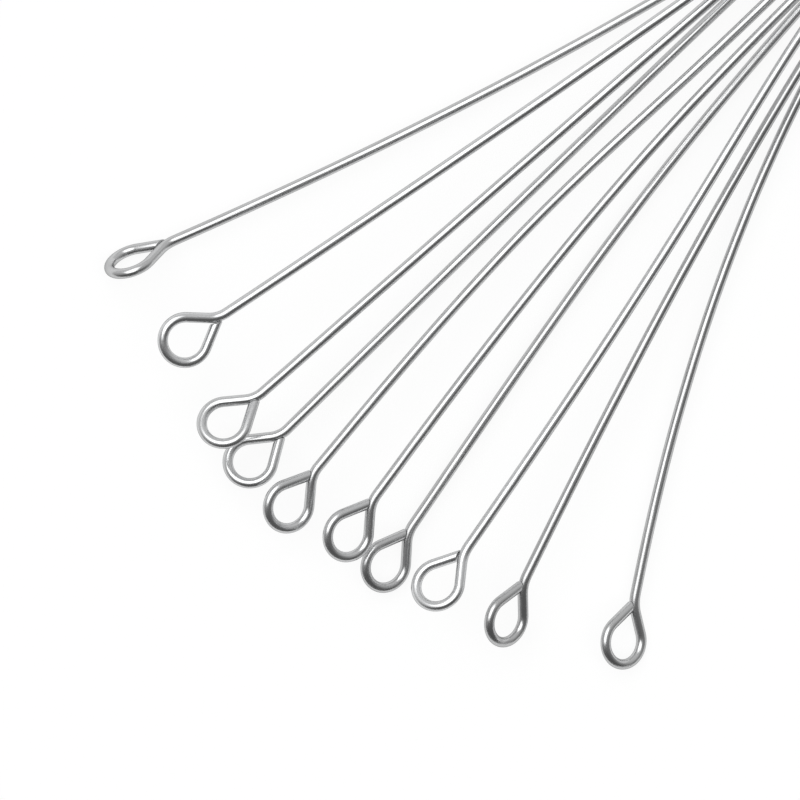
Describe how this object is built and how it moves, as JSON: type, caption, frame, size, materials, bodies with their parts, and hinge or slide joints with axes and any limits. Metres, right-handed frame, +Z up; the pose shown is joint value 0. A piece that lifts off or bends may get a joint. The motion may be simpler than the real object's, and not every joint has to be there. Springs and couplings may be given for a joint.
{
  "type": "inoculating loop set",
  "caption": "Fan of bare nichrome wire inoculating loops with teardrop eyes, their straight shanks gathered side by side in a short soft sleeve.",
  "frame": {"origin": "under the middle of the gathering sleeve, on the surface that the fan lies on", "axes": "+X along the gathered shanks towards the eyes, +Y across the fan, +Z up from the surface"},
  "size_m": [0.0802, 0.0357, 0.0047],
  "materials": {
    "wire": "bright drawn nichrome wire",
    "sleeve": "soft translucent silicone"
  },
  "bodies": {
    "sleeve": {"gathering_sleeve": "sleeve"},
    "loop_01": {"loop_shank_01": "wire", "loop_eye_01": "wire"},
    "loop_02": {"loop_shank_02": "wire", "loop_eye_02": "wire"},
    "loop_03": {"loop_shank_03": "wire", "loop_eye_03": "wire"},
    "loop_04": {"loop_shank_04": "wire", "loop_eye_04": "wire"},
    "loop_05": {"loop_shank_05": "wire", "loop_eye_05": "wire"},
    "loop_06": {"loop_shank_06": "wire", "loop_eye_06": "wire"},
    "loop_07": {"loop_shank_07": "wire", "loop_eye_07": "wire"},
    "loop_08": {"loop_shank_08": "wire", "loop_eye_08": "wire"},
    "loop_09": {"loop_shank_09": "wire", "loop_eye_09": "wire"},
    "loop_10": {"loop_shank_10": "wire", "loop_eye_10": "wire"}
  },
  "joints": [
    {"name": "draw_01", "type": "slide", "parent": "sleeve", "child": "loop_01", "axis": [1, 0, 0], "range_m": [0, 0.017]},
    {"name": "draw_02", "type": "slide", "parent": "sleeve", "child": "loop_02", "axis": [1, 0, 0], "range_m": [0, 0.017]},
    {"name": "draw_03", "type": "slide", "parent": "sleeve", "child": "loop_03", "axis": [1, 0, 0], "range_m": [0, 0.017]},
    {"name": "draw_04", "type": "slide", "parent": "sleeve", "child": "loop_04", "axis": [1, 0, 0], "range_m": [0, 0.017]},
    {"name": "draw_05", "type": "slide", "parent": "sleeve", "child": "loop_05", "axis": [1, 0, 0], "range_m": [0, 0.017]},
    {"name": "draw_06", "type": "slide", "parent": "sleeve", "child": "loop_06", "axis": [1, 0, 0], "range_m": [0, 0.017]},
    {"name": "draw_07", "type": "slide", "parent": "sleeve", "child": "loop_07", "axis": [1, 0, 0], "range_m": [0, 0.017]},
    {"name": "draw_08", "type": "slide", "parent": "sleeve", "child": "loop_08", "axis": [1, 0, 0], "range_m": [0, 0.017]},
    {"name": "draw_09", "type": "slide", "parent": "sleeve", "child": "loop_09", "axis": [1, 0, 0], "range_m": [0, 0.017]},
    {"name": "draw_10", "type": "slide", "parent": "sleeve", "child": "loop_10", "axis": [1, 0, 0], "range_m": [0, 0.017]}
  ]
}
